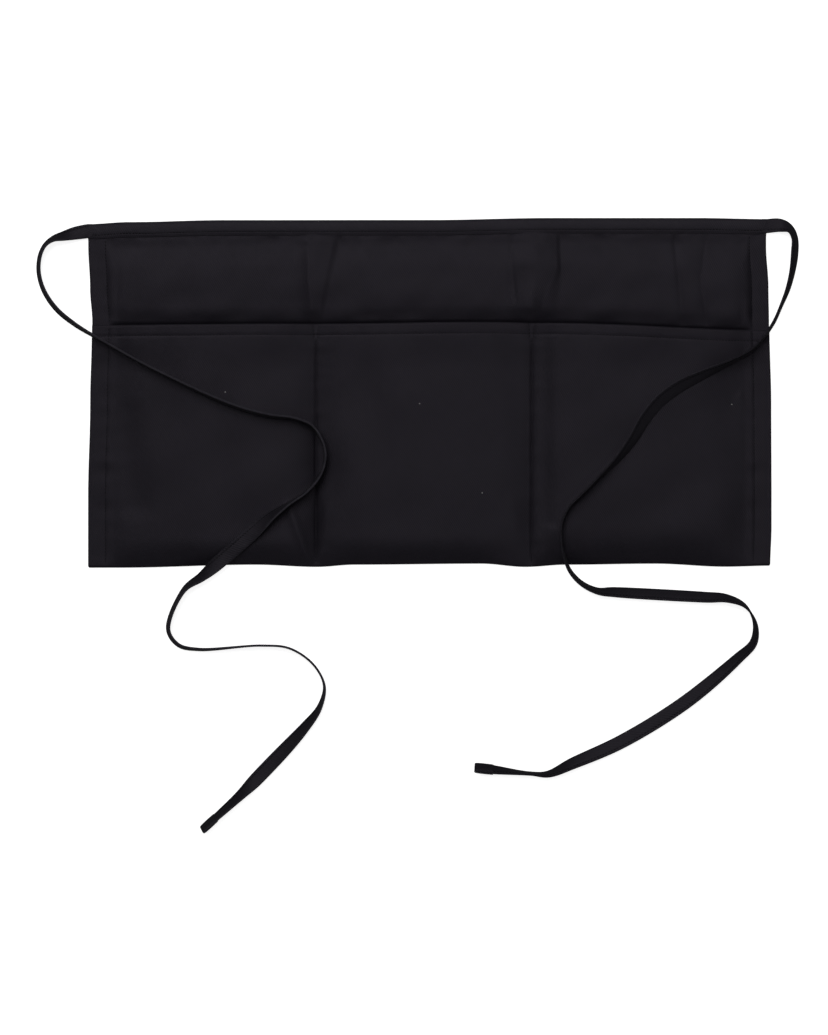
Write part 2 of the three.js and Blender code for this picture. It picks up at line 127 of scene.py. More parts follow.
def pulled_in(x, y):
    """Where x lies once the sides are pulled in."""
    up = (y + half_height) / apron_height
    left = read(left_edge, up) * np.clip((-x - left_divider) / (half_width - left_divider), 0, 1)
    right = read(right_edge, up) * np.clip((x - right_divider) / (half_width - right_divider), 0, 1)
    return x + side_pull * (left - right)


def pleat_at(pleat, x, up, sharp):
    """The height of a pleat that narrows from the band to the mouths. Its left edge is sharp or soft."""
    rows = np.array(pleat[::-1]).T
    left, crest, brow, right, high = (np.interp(up, rows[0], row) * 0.001 for row in rows[1:])
    rise = np.clip((x - left) / (crest - left), 0, 1)
    rise = rise**sharp_rise if sharp else ease(rise)
    over = 1 - pleat_fall * np.clip((x - crest) / (brow - crest), 0, 1)
    fall = ease((right - x) / (right - brow))
    return high * rise * over * fall


def creases_at(creases, x, up):
    """The depth of thin creases that run down from the band."""
    total = np.zeros(np.shape(x))
    for at_band, at_mouth, reach, depth, start, end in creases:
        away = (x * 1000 - mix(at_mouth, at_band, up)) / reach
        ends = ease((up - start) * 8 + 0.3) * ease((end - up) * 8 + 0.3)
        total += depth * 0.001 * np.exp(-(away**2)) * ends
    return total


def ripples(x, y, length, seed):
    """Soft random waves about that long, mostly from -1 to 1: ten straight waves added up."""
    chance = np.random.default_rng(seed)
    total = 0
    for turn, stretch, start in chance.uniform((0, 0.6, 0), (np.pi, 1.7, 2 * np.pi), (10, 3)):
        along = x * math.cos(turn) + y * math.sin(turn)
        total = total + np.sin(2 * np.pi * along / (length * stretch) + start)
    return total / 4


def puckers(along, away, length, reach, seed):
    """Short waves along a seam, highest beside it, mostly from -1 to 1."""
    return ripples(along, 0.25 * away, length, seed) * np.exp(-np.abs(away) / reach)


def groove(away, depth, reach):
    """The depth of a seam's groove at that distance from the seam."""
    return depth * np.exp(-((away / reach) ** 2))


def body_under(x, y):
    """The underside of the back cloth, on the surface, on the side hems and in the waistband."""
    from_side = half_width - np.abs(x) - side_hem_width - gap
    below_band = top_at(x) - band_width - gap - y
    held = layer * np.maximum(1 - ease(from_side / hem_ease), 1 - ease(below_band / band_ease))
    above = (y - mouth_at(x)) / (top_at(x) - band_width - mouth_at(x))
    free = ease(from_side / (2 * hem_ease)) * ease(above * 5) * ease((1 - above) * 5)
    loose = upper_billow * np.sin(np.pi * np.clip(above, 0, 1)) * free
    up = np.clip(above, 0, 1)
    held_pleats = ease(above * 6) * mix(0.5, 1, ease((1 - above) * 14))
    pleats = (pleat_at(left_pleat, x, up, True) + pleat_at(right_pleat, x, up, False)) * held_pleats
    return np.maximum(0, held + loose + pleats)


def body_top(x, y):
    """The face of the back cloth, with the small unevenness that the solids leave out."""
    below_band = top_at(x) - band_width - y
    above_mouth = y - mouth_at(x)
    from_side = half_width - np.abs(x) - side_hem_width
    upper = ease(above_mouth / 0.01) * ease(below_band / 0.004)
    uneven = 0.0005 * ripples(x, y, length=0.045, seed=3) * upper * ease(from_side / 0.02)
    band_puckers = 0.0004 * puckers(x, below_band, length=0.011, reach=0.012, seed=5)
    band_puckers = band_puckers * ease(below_band / 0.002)
    side_puckers = 0.0003 * puckers(y, from_side, length=0.014, reach=0.008, seed=7)
    dip = mouth_dip * (1 - (1 - np.clip(above_mouth / mouth_dip_reach, 0, 1)) ** 2)
    dip = dip + mouth_tuck * (1 - (1 - np.clip(above_mouth / mouth_tuck_reach, 0, 1)) ** 2)
    dip = dip * ease(from_side / 0.01 + 0.2) * ease(below_band / 0.03)
    up = np.clip(above_mouth / (above_mouth + below_band), 0, 1)
    creases = creases_at(upper_creases, x, up) * ease(above_mouth / 0.004) * (below_band > 0)
    seam = groove(from_side, depth=0.0003, reach=0.001)
    face = uneven + band_puckers + side_puckers * upper + dip
    return body_under(x, y) + cloth + face - creases - seam * upper


def spread(stops, step):
    """Places from the first stop to the last, about a step apart and closer beside the stops."""
    places = [np.array(stops[:1])]
    for a, b in zip(stops, stops[1:]):
        count = max(1, round((b - a) / step))
        share = np.arange(1, count + 1) / count
        places.append(mix(a, b, mix(share, ease(share), 0.5)))
    return np.concatenate(places)


def beside(seam):
    """Stops around a seam, so that the groove of its stitches has faces of its own."""
    return [seam - 0.002, seam - 0.0008, seam, seam + 0.0008, seam + 0.002]


def grid_of(name, columns, rows, place):
    """A grid with a corner for each column and row. place gives the corner's x, y, z and its place on
    the flat cloth, in metres, which becomes its UV."""
    bpy.ops.object.select_all(action="DESELECT")
    bpy.ops.mesh.primitive_grid_add(x_subdivisions=len(columns) - 1, y_subdivisions=len(rows) - 1)
    piece = bpy.context.object
    piece.name = name
    u, v = (line.ravel() for line in np.meshgrid(columns, rows))
    x, y, z, across, along = place(u, v)
    piece.data.vertices.foreach_set("co", np.column_stack([x, y, z]).ravel())
    corners = np.empty(len(piece.data.loops), int)
    piece.data.loops.foreach_get("vertex_index", corners)
    flat = np.column_stack([across, along])[corners]
    piece.data.uv_layers.active.data.foreach_set("uv", flat.ravel())
    return piece


edge_zone = 0.004  # within this of the sides and the bottom, a cloth's inner face is kept inside the outer


def finished(piece, thickness):
    """Gives a grid its thickness, below its face, and keeps it on the table and inside its outline."""
    solid = piece.modifiers.new("thickness", "SOLIDIFY")
    solid.thickness = thickness
    solid.offset = -1
    bpy.context.view_layer.objects.active = piece
    bpy.ops.object.modifier_apply(modifier="thickness")
    places = np.empty((len(piece.data.vertices), 3))
    piece.data.vertices.foreach_get("co", places.ravel())
    outer, inner = np.split(places, 2)
    side = np.maximum(np.abs(outer[:, 0]), half_width - edge_zone)
    inner[:, 0] = np.clip(inner[:, 0], -side, side)
    bottom = np.minimum(outer[:, 1], bottom_at(outer[:, 0]) + edge_zone)
    inner[:, 1] = np.maximum(inner[:, 1], bottom)
    places[:, 2] = np.maximum(places[:, 2], table_gap)
    piece.data.vertices.foreach_set("co", places.ravel())
    bpy.ops.object.shade_smooth()
    return piece


def add_node(tree, kind, inputs, **settings):
    """Adds a node with its settings. Each input is a value or another node's output."""
    made = tree.nodes.new(kind)
    for name, value in settings.items():
        setattr(made, name, value)
    for name, value in inputs.items():
        if isinstance(value, bpy.types.NodeSocket):
            tree.links.new(value, made.inputs[name])
        else:
            made.inputs[name].default_value = value
    return made


def colour(code):
    """An sRGB hex colour as linear light."""
    shares = [int(code[i : i + 2], 16) / 255 for i in (1, 3, 5)]
    return [s / 12.92 if s <= 0.04045 else ((s + 0.055) / 1.055) ** 2.4 for s in shares] + [1]


def dye(material, dark, light):
    """Sets the two tones between which the colour of a twill drifts."""
    drift = next(node for node in material.node_tree.nodes if node.label == "tones")
    drift.inputs["A"].default_value = colour(dark)
    drift.inputs["B"].default_value = colour(light)


def fibrous(name, grain, dark, light, roughness):
    """A rough material whose colour varies with a fine noise, and its shader."""
    material = bpy.data.materials.new(name)
    material.use_nodes = True
    tree = material.node_tree
    shader = tree.nodes["Principled BSDF"]
    place = add_node(tree, "ShaderNodeTexCoord", {}).outputs["Object"]
    noise = add_node(tree, "ShaderNodeTexNoise", {"Vector": place, "Scale": grain, "Detail": 2})
    shade = add_node(
        tree, "ShaderNodeMix",
        {"Factor": noise.outputs["Fac"], "A": colour(dark), "B": colour(light)}, data_type="RGBA",
    )
    tree.links.new(shade.outputs["Result"], shader.inputs["Base Color"])
    shader.inputs["Roughness"].default_value = roughness
    return material, shader


def wave_scale(length):
    """The Wave node's scale for bands of that length in metres."""
    return math.pi / 10 / length


# Twill of polyester and cotton, piece-dyed black: diagonal wales of fine yarn, matt, with a faint sheen
# where it faces the light. Real wales are about 0.9 mm apart, and they are drawn at 1.5 mm to show.
twill = bpy.data.materials.new("black polyester and cotton twill")
twill.use_nodes = True
tree = twill.node_tree
shader = tree.nodes["Principled BSDF"]
flat = add_node(tree, "ShaderNodeTexCoord", {}).outputs["UV"]
slanted = add_node(tree, "ShaderNodeMapping", {"Vector": flat, "Rotation": (0, 0, math.radians(27))})
wales = add_node(
    tree, "ShaderNodeTexWave",
    {"Vector": slanted.outputs[0], "Scale": wave_scale(0.0015), "Distortion": 0.8, "Detail": 2,
     "Detail Scale": 2.5},
)
level = add_node(tree, "ShaderNodeMapping", {"Vector": flat, "Rotation": (0, 0, math.radians(90))})
picks = add_node(
    tree, "ShaderNodeTexWave",
    {"Vector": level.outputs[0], "Scale": wave_scale(0.0009), "Distortion": 1.2, "Detail": 2},
)
slubs = add_node(tree, "ShaderNodeTexNoise", {"Vector": flat, "Scale": 420, "Detail": 4, "Roughness": 0.7})
weave = add_node(
    tree, "ShaderNodeMath", {0: picks.outputs["Fac"], 1: 0.35, 2: wales.outputs["Fac"]},
    operation="MULTIPLY_ADD",
)
weave = add_node(
    tree, "ShaderNodeMath", {0: slubs.outputs["Fac"], 1: 0.9, 2: weave.outputs[0]},
    operation="MULTIPLY_ADD",
)
bump = add_node(
    tree, "ShaderNodeBump", {"Height": weave.outputs[0], "Strength": 0.45, "Distance": 0.00035}
)
clouds = add_node(tree, "ShaderNodeTexNoise", {"Vector": flat, "Scale": 22, "Detail": 7, "Roughness": 0.8})
tones = add_node(
    tree, "ShaderNodeMix",
    {"Factor": clouds.outputs["Fac"], "A": colour("#08070b"), "B": colour("#25222b")},
    data_type="RGBA", label="tones",
)
yarns = add_node(
    tree, "ShaderNodeMix",
    {"Factor": wales.outputs["Fac"], "A": colour("#0f0e13"), "B": tones.outputs["Result"]},
    data_type="RGBA",
)
tree.links.new(yarns.outputs["Result"], shader.inputs["Base Color"])
tree.links.new(bump.outputs[0], shader.inputs["Normal"])
shader.inputs["Roughness"].default_value = 0.5
shader.inputs["Specular IOR Level"].default_value = 0.3
shader.inputs["Specular Tint"].default_value = (0.92, 0.84, 1, 1)
shader.inputs["Sheen Weight"].default_value = 0.02
shader.inputs["Sheen Roughness"].default_value = 0.4

side_curl = 0.001  # the radius of the turn at the apron's sides
side_drop = 0.0019  # the most that the back cloth's face comes down there
side_inset = 0.0013  # behind the pockets it ends this far inside the pocket cloth's sides
top_inset = 0.0022  # inside the band it ends this far below the band's upper edge


def round_side(u):
    """x, and how far the cloth has come down, for a length u that goes on round the apron's side."""
    over = np.clip(np.abs(u) - (half_width - side_curl), 0, None)
    turn = np.clip(over / side_curl, 0, np.pi / 2)
    flat_part = np.minimum(np.abs(u), half_width - side_curl)
    x = np.sign(u) * (flat_part + side_curl * np.sin(turn))
    return x, side_curl * (1 - np.cos(turn)) + np.clip(over - side_curl * np.pi / 2, 0, None)


cloth_step = 0.0021  # from one column of a cloth to the next
pleat_step = 0.00105  # where the pleats are
crease_step = 0.0014  # and where the sharpest creases are
side_round = half_width - side_curl + np.array([0.0004, 0.0008, 0.0012, 0.0016, 0.0021, 0.0026])
hem_seam = half_width - side_hem_width
back_columns = np.concatenate([
    -side_round[::-1],
    spread([-half_width + side_curl, *beside(-hem_seam), -0.125], cloth_step),
    spread([-0.125, -0.076], pleat_step)[1:],
    spread([-0.076, 0.066], cloth_step)[1:],
    spread([0.066, 0.12], pleat_step)[1:],
    spread([0.12, 0.215], cloth_step)[1:],
    spread([0.215, 0.255], crease_step)[1:],
    spread([0.255, *beside(hem_seam), half_width - side_curl], cloth_step)[1:],
    side_round,
])
behind_pockets = spread([0, 1], 0.06)
above_pockets = spread([1, 1.2, 1.9, 2], 0.019)
in_band = [2.25, 2.5, 2.8]
back_rows = np.concatenate([behind_pockets, above_pockets[1:], in_band])


def back_place(u, v):
    """v is a share: 0 to 1 from the bottom to the mouths, to 2 up to the band, to 3 inside the band."""
    x, drop = round_side(u)
    lowest = bottom_at(x) + fold_depth + gap
    band_edge = top_at(x) - band_width
    y = mix(lowest, mouth_at(x), np.clip(v, 0, 1))
    y = y + (band_edge - mouth_at(x)) * np.clip(v - 1, 0, 1)
    y = y + (band_width - top_inset) * np.clip(v - 2, 0, 1)
    open_edge = ease((y - mouth_at(x)) / 0.0012 + 1)
    inset = side_inset * (1 - open_edge) * ease((np.abs(x) - half_width + 0.004) / 0.003)
    x_in = x - np.sign(x) * inset
    outside_band = 1 - ease((y - band_edge + 0.002) / 0.002)
    z = body_top(x, y) - np.minimum(drop, side_drop) * outside_band * mix(0.4, 1, open_edge)
    return pulled_in(x_in, y), y, z, u, y


back = finished(grid_of("back_cloth", back_columns, back_rows, back_place), cloth_thickness)
back.data.materials.append(twill)
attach(back, "root")
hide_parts("body_panel")

# The side hems. Along both sides the cloth is turned to the back and sewn down, so a strip of it lies
# under the edge and lifts the edge a little.
hem_rows = spread([0, 1], 0.01)
for side, name in ((-1, "left"), (1, "right")):
    hem_columns = side * spread([half_width - side_hem_width, half_width - 0.0014], 0.0014)

    def hem_place(u, v):
        x, y = u, mix(bottom_at(u) + fold_depth + 2 * gap, top_at(u) - band_width - gap, v)
        return pulled_in(x, y), y, np.full(np.shape(x), cloth), u, y

    hem = grid_of("side_hem_cloth_" + name, np.sort(hem_columns), hem_rows, hem_place)
    finished(hem, cloth_thickness)
    hem.data.materials.append(twill)
    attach(hem, "root")
    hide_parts("side_hem_" + name)

# The pocket front. The same cloth goes on round the bottom fold and up over the back, with its top edge
# turned inside and sewn as a hem. Two seams divide it into three pockets, and between the seams it
# stands off the back in a low pillow.
pocket_puff = 0.008
mouth_puff = 0.9  # the share of the puff at the pockets' mouths
pocket_hem_width = 0.0107
pocket_hem_seam = 0.0098  # from the mouth down to the stitches
bottom_steepness = 2.2  # how steeply the front rises from the bottom fold
pucker_height = 0.0013
pucker_reach = 0.008
corner_round = 0.0012  # the rounding of the bottom corners
most_pressed = 0.93  # the most of its height that the front loses as it comes down round the side
tack_length = 0.0134  # the dividers are sewn double beside the mouths
tack_half_width = 0.0017
# Pockets as (from, to, share of the puff, the height over which the bottom rises, and how steeply the
# front rises from the left and the right seam, at the mouth and at the bottom).
pockets = [
    (-half_width + side_hem_width, -left_divider, 1, 0.026, (2.6, 2.8), (2.6, 6.5)),
    (-left_divider, right_divider, 0.92, 0.028, (2.6, 7), (2.3, 2.3)),
    (right_divider, half_width - side_hem_width, 1.05, 0.037, (6.5, 7), (2.6, 2.8)),
]
# Puckers as (across and up where each starts, across and up where it ends, reach, height), the places
# as shares of half the width and of the height.
pocket_puckers = [
    (-0.9, 0.5, -0.85, 0.12, 1.6, -1),
    (-0.42, 0.2, -0.338, -0.02, 0.55, 1.4),
    (-0.3, 0.2, -0.325, 0, 0.5, 0.35),
    (0.24, 0.22, 0.285, -0.02, 0.75, 0.5),
    (0.34, 0.78, 0.335, 0.02, 0.85, -1.2),
    (0.36, 0.13, 0.315, 0, 0.8, 0.8),
    (0.95, 0.46, 0.9, 0.5, 0.7, 1),
]


def folds_at(folds, x, y, reach, height):
    """The height of soft ridges, each along its own line."""
    total = np.zeros(np.shape(x))
    for from_across, from_up, to_across, to_up, wide, high in folds:
        start = np.array([from_across * half_width, from_up * apron_height - half_height])
        run = np.array([to_across * half_width, to_up * apron_height - half_height]) - start
        share = ((x - start[0]) * run[0] + (y - start[1]) * run[1]) / (run @ run)
        away = ((x - start[0]) * run[1] - (y - start[1]) * run[0]) / math.hypot(*run) / (reach * wide)
        total += height * high * np.exp(-(away**2)) * ease(share * 6) * ease((1 - share) * 6)
    return total


def puff_at(x, y):
    """How far the pocket front stands off the back."""
    above_bottom = y - bottom_at(x)
    down = ease(1 - (y + half_height) / pocket_depth)
    total = 0
    for start, end, share, rise, left, right in pockets:
        across = 2 * np.clip((x - start) / (end - start), 0, 1) - 1
        steep = np.where(across < 0, mix(*left, down), mix(*right, down))
        arch = 1 - np.abs(across) ** steep
        along = 1 - (1 - np.clip(above_bottom / rise, 0, 1)) ** bottom_steepness
        total = total + pocket_puff * share * arch * along * mix(mouth_puff, 1, down)
        total = total + folds_at(pocket_puckers, x, y, pucker_reach, pucker_height) * ease(arch * 2)
    return np.maximum(0, total)


def pocket_top(x, y):
    """The face of the pocket front."""
    mouth = mouth_at(x)
    below_hem = mouth - pocket_hem_width - y
    over_hem = layer * (1 - ease(below_hem / (3.5 * hem_ease)))
    base = body_under(x, np.minimum(y, mouth)) + layer + puff_at(x, y) + over_hem + cloth
    from_side = half_width - np.abs(x) - side_hem_width
    from_seam = mouth - pocket_hem_seam - y
    from_divider = np.minimum(np.abs(x + left_divider), np.abs(x - right_divider))
    inside = ease((y - bottom_at(x)) / 0.012)
    uneven = 0.0006 * ripples(x, y, length=0.06, seed=11) * inside
    uneven = uneven * ease(from_side / 0.02) * ease(from_divider / 0.02)
    hem_puckers = 0.0002 * puckers(x, from_seam, length=0.013, reach=0.006, seed=13)
    side_puckers = 0.0004 * puckers(y, from_side, length=0.02, reach=0.01, seed=17) * inside
    divider_puckers = 0.0003 * puckers(y, from_divider, length=0.012, reach=0.008, seed=19) * inside
    past_tack = ease((mouth - y - tack_length) / 0.002)
    from_rows = mix(np.abs(from_divider - tack_half_width), from_divider, past_tack)
    seams = groove(from_seam, depth=0.0005, reach=0.0009)
    seams = seams + groove(from_side, depth=0.00025, reach=0.0009) * inside
    seams = seams + groove(from_rows, depth=0.0006, reach=0.001) * inside
    return base + uneven + hem_puckers + side_puckers + divider_puckers - seams


mouth_radius = (layer + cloth) / 2
pocket_side = half_width - side_curl + np.array([0.0004, 0.0008, 0.0012, 0.0016, 0.0024, 0.0032, 0.0039])
pocket_columns = np.concatenate([
    -pocket_side[::-1],
    spread(
        [-half_width + side_curl, *beside(-hem_seam), *beside(-left_divider), *beside(right_divider),
         *beside(hem_seam), half_width - side_curl], cloth_step),
    pocket_side,
])
hem_share = 1 - pocket_hem_seam / pocket_depth
groove_shares = hem_share + np.array([-0.009, -0.004, 0, 0.004, 0.009])
front_rows = spread([0, 0.08, *groove_shares, 1], 0.0095)
pocket_rows = np.concatenate([[-2, -1.6, -1.3, -1, -0.75, -0.5, -0.25], front_rows,
                              [1.25, 1.5, 1.75, 2, 2.3, 2.7, 3]])


def pocket_place(u, v):
    """v is a share: -2 to -1 along the underside, to 0 round the bottom fold, to 1 up the front, to 2
    round the mouth's fold and to 3 down the hem inside."""
    x, drop = round_side(u)
    rounding = corner_round * np.clip((np.abs(x) - half_width) / corner_round + 1, 0, 1) ** 2
    bottom, mouth = bottom_at(x) + rounding, mouth_at(x)
    fold_radius = (layer + cloth + body_under(x, bottom)) / 2
    start, end = bottom + fold_radius, mouth - mouth_radius
    turn = np.pi * np.clip(-v, 0, 1)
    turn_in = np.pi * np.clip(v - 1, 0, 1)
    y = mix(start, end, np.clip(v, 0, 1)) - fold_radius * np.sin(turn) + mouth_radius * np.sin(turn_in)
    y = y + (fold_depth - fold_radius) * np.clip(-1 - v, 0, 1)
    y = y - (pocket_hem_width - mouth_radius) * np.clip(v - 2, 0, 1)
    face = pocket_top(x, np.clip(y, start, None))
    z = np.where(v < 0, face * (1 + np.cos(turn)) / 2, face)
    z = z - mouth_radius * (1 - np.cos(turn_in))
    keep = 1 - np.minimum(drop / face, most_pressed)
    along = y * np.where((v < 0) | (v > 1), 0, 1) + np.where(v < 0, bottom + v * 0.004, 0)
    along = along + np.where(v > 1, mouth + (v - 1) * 0.005, 0)
    return pulled_in(x, y), y, np.maximum(z * keep, table_gap), u, along


front = finished(grid_of("pocket_cloth", pocket_columns, pocket_rows, pocket_place), cloth_thickness)
front.data.materials.append(twill)
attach(front, "root")
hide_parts("pocket_panel", "pocket_hem")

# The waistband: binding tape of the same black twill, folded over the top edge of the cloth and sewn
# through near its lower edges. It thins out at its ends, where it goes on as the ties.
band_height = 0.0036
band_end = 0.009  # the length over which the band thins out to the tie
band_end_width = 0.0128
band_seam = 0.0038  # from the tape's lower edge up to the stitches
tape_thickness = 0.0008  # of one layer
tie_height = 0.0022  # what the tape measures where no cloth is in it
tie_middle = 0.0018  # the height of its middle there

tape_cloth = twill.copy()
tape_cloth.name = "black twill binding tape"
dye(tape_cloth, "#17151b", "#323037")

band_columns = spread(
    [-half_width - gap, -half_width + band_end, half_width - band_end, half_width + gap], 0.0019)
front_share = band_seam / band_width
band_rows = np.concatenate([
    spread([0, 0.06, front_share - 0.07, front_share, front_share + 0.07, 1], 0.06),
    [1.17, 1.33, 1.5, 1.67, 1.83, 2, 2.3, 2.65, 3],
])


def band_place(u, v):
    """v is a share: 0 to 1 up the front, to 2 round the top fold and to 3 down the back."""
    x = np.clip(u, -half_width, half_width)
    thin = 1 - ease((half_width - np.abs(x)) / band_end)
    height = mix(band_height, tie_height, thin)
    radius = height / 2
    wide = mix(band_width, band_end_width, thin)
    top = top_at(x) - 0.0001 * thin
    turn = np.pi * np.clip(v - 1, 0, 1)
    share = np.clip(v, 0, 1)
    y = top - wide + (wide - radius) * share + radius * np.sin(turn)
    y = y - (wide - radius) * np.clip(v - 2, 0, 1)
    from_seam = (share - front_share) * band_width
    roll = 0.0003 * np.sin(np.pi * np.clip((share - front_share) / (1 - front_share), 0, 1))
    lower_edge = 0.0008 * (1 - ease(share / front_share))
    seam = groove(from_seam, depth=0.0003, reach=0.0007)
    roping = 0.00012 * ripples(u + 0.2 * y, 0.3 * y, length=0.007, seed=23) * np.clip(share * 4, 0, 1)
    up = np.ones(np.shape(x))
    pleats = pleat_at(left_pleat, x, up, True) + pleat_at(right_pleat, x, up, False)
    over_pleats = 0.3 * pleats * (1 - 0.7 * share)
    front_face = (roll - lower_edge - seam + roping + over_pleats) * (1 - 0.5 * thin) * (v < 1.01)
    middle = mix(band_height / 2, tie_middle, thin)
    z = middle + radius * np.cos(turn) + front_face
    along = np.where(v < 1, y, top + (v - 1) * 0.01)
    return pulled_in(u, half_height), y, np.maximum(z, table_gap), u, along


band = grid_of("waistband_tape", band_columns, band_rows, band_place)
finished(band, tape_thickness)
band.data.materials.append(tape_cloth)
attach(band, "root")
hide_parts("waistband")

# The ties: the band's tape going on from both of its ends, folded double with its edges inside and sewn
# along the open edge. They lie loose, now flat and now on edge, over the pockets and on the table.
tie_width = 0.0127
tie_thickness = 0.002
tie_step = 0.0016
tie_inset = 0.004  # how far the tie's tape starts inside the band
# Routes in millimetres as (x, y, height of what it lies on, roll), x and y from the band's end. A roll
# of 0 degrees is flat, and one of 90 on its edge.
left_route = [
    (0, 0, 0.8, 4), (-11, -2, 0.3, 22), (-21, -4.5, 0.2, 45), (-30, -7, 0.2, 62), (-37, -12, 0.2, 70),
    (-41.5, -20, 0.2, 71), (-43.5, -33, 0.2, 72), (-41.5, -46, 0.2, 73), (-36, -58.5, 0.2, 73),
    (-26, -71.5, 0.2, 74), (-11, -83.5, 1.6, 77), (6, -94, 5.6, 82), (28, -106.5, 5.3, 86),
    (62, -125, 8.5, 84), (129, -156, 10, 78), (162, -165, 8.6, 80), (184, -167.5, 6.3, 84),
    (200, -174, 4, 84), (209, -187, 3.8, 84), (212, -201, 4.1, 84), (208, -217, 3.8, 84),
    (196, -232, 4.5, 84), (179, -243.5, 7.2, 77), (163, -255, 8.9, 52), (142, -274, 10.1, 2),
    (120, -293, 8, 6), (102, -308, 1.8, 50), (86, -320, 0.2, 71), (72, -355, 0.2, 74),
    (81, -369, 0.2, 75), (99, -373, 0.2, 80), (155, -369.5, 0.2, 88), (180, -372, 0.2, 86),
    (201, -386, 0.2, 87), (211, -405, 0.2, 84), (207, -424, 0.2, 72), (194, -442, 0.2, 50),
    (155, -484, 0.2, 12), (137, -502, 0.2, 50), (114, -523, 0.2, 66),
]
right_route = [
    (0, 0, 0.8, -4), (12, 0.5, 0.6, -20), (20.5, -3, 0.2, -52), (24.5, -11, 0.2, -60),
    (24.5, -24, 0.2, -57), (22.5, -40, 0.2, -64), (18.5, -56, 0.3, -70), (12.5, -71, 0.6, -77),
    (5.5, -86, 4.2, -78), (-2.5, -98, 5.8, -80), (-14, -111, 4.6, -78), (-36, -123, 6.4, -72),
    (-58, -133, 8.4, -52), (-80, -144, 9.4, -38), (-97, -157, 9.9, -36), (-110, -173, 10.1, -40),
    (-121, -191, 10.2, -52), (-134, -208, 10.1, -66), (-150, -224, 9.8, -80), (-165, -239, 8.9, -84),
    (-177, -251, 7.4, -86), (-183, -264, 7.1, -86), (-184, -278, 7.3, -86), (-181.5, -293, 6, -83),
    (-176, -307, 1.4, -77), (-165.5, -318.5, 0.2, -73), (-151, -325.5, 0.2, -66),
    (-135.5, -326.5, 0.2, -50), (-55, -331, 0.2, -46), (-36, -332, 0.2, -59), (-20, -338.5, 0.2, -77),
    (-11, -353, 0.2, -95), (-12, -371, 0.2, -112), (-26, -385.5, 0.2, -128), (-73, -425, 0.2, -162),
    (-129, -459.5, 0.2, -158), (-173, -479, 0.2, -135), (-195, -488.5, 0.2, -108),
    (-211, -488, 0.2, -96), (-244.5, -484.5, 0.2, -120),
]
# Half of the tape's section in millimetres, from its folded edge to the groove between its two open
# edges: the place across the tape, and the height over its middle.
tape_section = [(6.35, 0), (6.32, 0.55), (6.15, 0.84), (5.6, 0.98), (3, 1.02), (0.5, 1), (-2.2, 0.92),
                (-3.3, 0.82), (-3.9, 0.62), (-4.5, 0.82), (-5.4, 0.86), (-6, 0.78), (-6.3, 0.55),
                (-6.2, 0.25), (-5.5, 0.03)]


# The ties' tape is the same twill, rougher along its two edges, where it is pulled and knotted. There it is
# also painted paler, a painted highlight of the light that the rounded edges catch, and its tones are
# darker than the band's tape, painted shade for the ties' steep, shadowed sides. The UV round the tape
# starts at one edge and reaches the other half its way round.
tape_round = 0.001 * 2 * np.linalg.norm(np.diff(tape_section, axis=0), axis=1).sum()
tie_tape_with_painted_light = tape_cloth.copy()
tie_tape_with_painted_light.name = "black twill binding tape rubbed at its edges"
# Darker tones than the band's tape: painted shade for the ties' steep, shadowed sides.
dye(tie_tape_with_painted_light, "#0c0b10", "#211f26")
tree = tie_tape_with_painted_light.node_tree
shader = tree.nodes["Principled BSDF"]
flat = tree.nodes["Texture Coordinate"].outputs["UV"]
parts = add_node(tree, "ShaderNodeSeparateXYZ", {"Vector": flat})
from_edge = add_node(
    tree, "ShaderNodeMath", {0: parts.outputs["X"], 1: tape_round / 4}, operation="PINGPONG")
edge_roughness_and_highlight = add_node(
    tree, "ShaderNodeMapRange", {"Value": from_edge.outputs[0], "From Min": 0.0005, "From Max": 0.0013,
                                 "To Min": 1, "To Max": 0})
patches = add_node(tree, "ShaderNodeTexNoise", {"Vector": flat, "Scale": 160, "Detail": 3})
fuzz = add_node(
    tree, "ShaderNodeMapRange", {"Value": edge_roughness_and_highlight.outputs[0], "To Min": 0.5, "To Max": 0.85})
tree.links.new(fuzz.outputs[0], shader.inputs["Roughness"])
# Paler colour in patches along both edges: a painted highlight of the light on the rounded edges. The
# rougher edges are the tape's own.
edge_roughness_and_highlight = add_node(tree, "ShaderNodeMath", {0: edge_roughness_and_highlight.outputs[0], 1: patches.outputs["Fac"]}, operation="MULTIPLY")
woven = shader.inputs["Base Color"].links[0].from_socket
edge_highlight = add_node(
    tree, "ShaderNodeMix", {"Factor": edge_roughness_and_highlight.outputs[0], "A": woven, "B": colour("#424047")},
    data_type="RGBA",
)
tree.links.new(edge_highlight.outputs["Result"], shader.inputs["Base Color"])


def smooth_line(rows, step):
    """A soft line through rows of values, the first three of which are a place, about a step apart."""
    ends = np.vstack([2 * rows[0] - rows[1], rows, 2 * rows[-1] - rows[-2]])
    apart = np.sqrt(np.linalg.norm(np.diff(ends[:, :3], axis=0), axis=1))[:, None]
    line = [rows[:1]]
    for i in range(len(rows) - 1):
        (a, b, c, d), (e, f, g) = ends[i : i + 4], apart[i : i + 3]
        out = f * ((b - a) / e - (c - a) / (e + f) + (c - b) / f)
        into = f * ((c - b) / f - (d - b) / (f + g) + (d - c) / g)
        count = max(2, round(np.linalg.norm((c - b)[:3]) / step))
        t = (np.arange(1, count + 1) / count)[:, None]
        line.append(
            b * (2 * t**3 - 3 * t**2 + 1) + out * (t**3 - 2 * t**2 + t)
            + c * (3 * t**2 - 2 * t**3) + into * (t**3 - t**2)
        )
    return np.vstack(line)


def unit(rows):
    """Each row at a length of 1."""
    return rows / np.linalg.norm(rows, axis=1)[:, None]


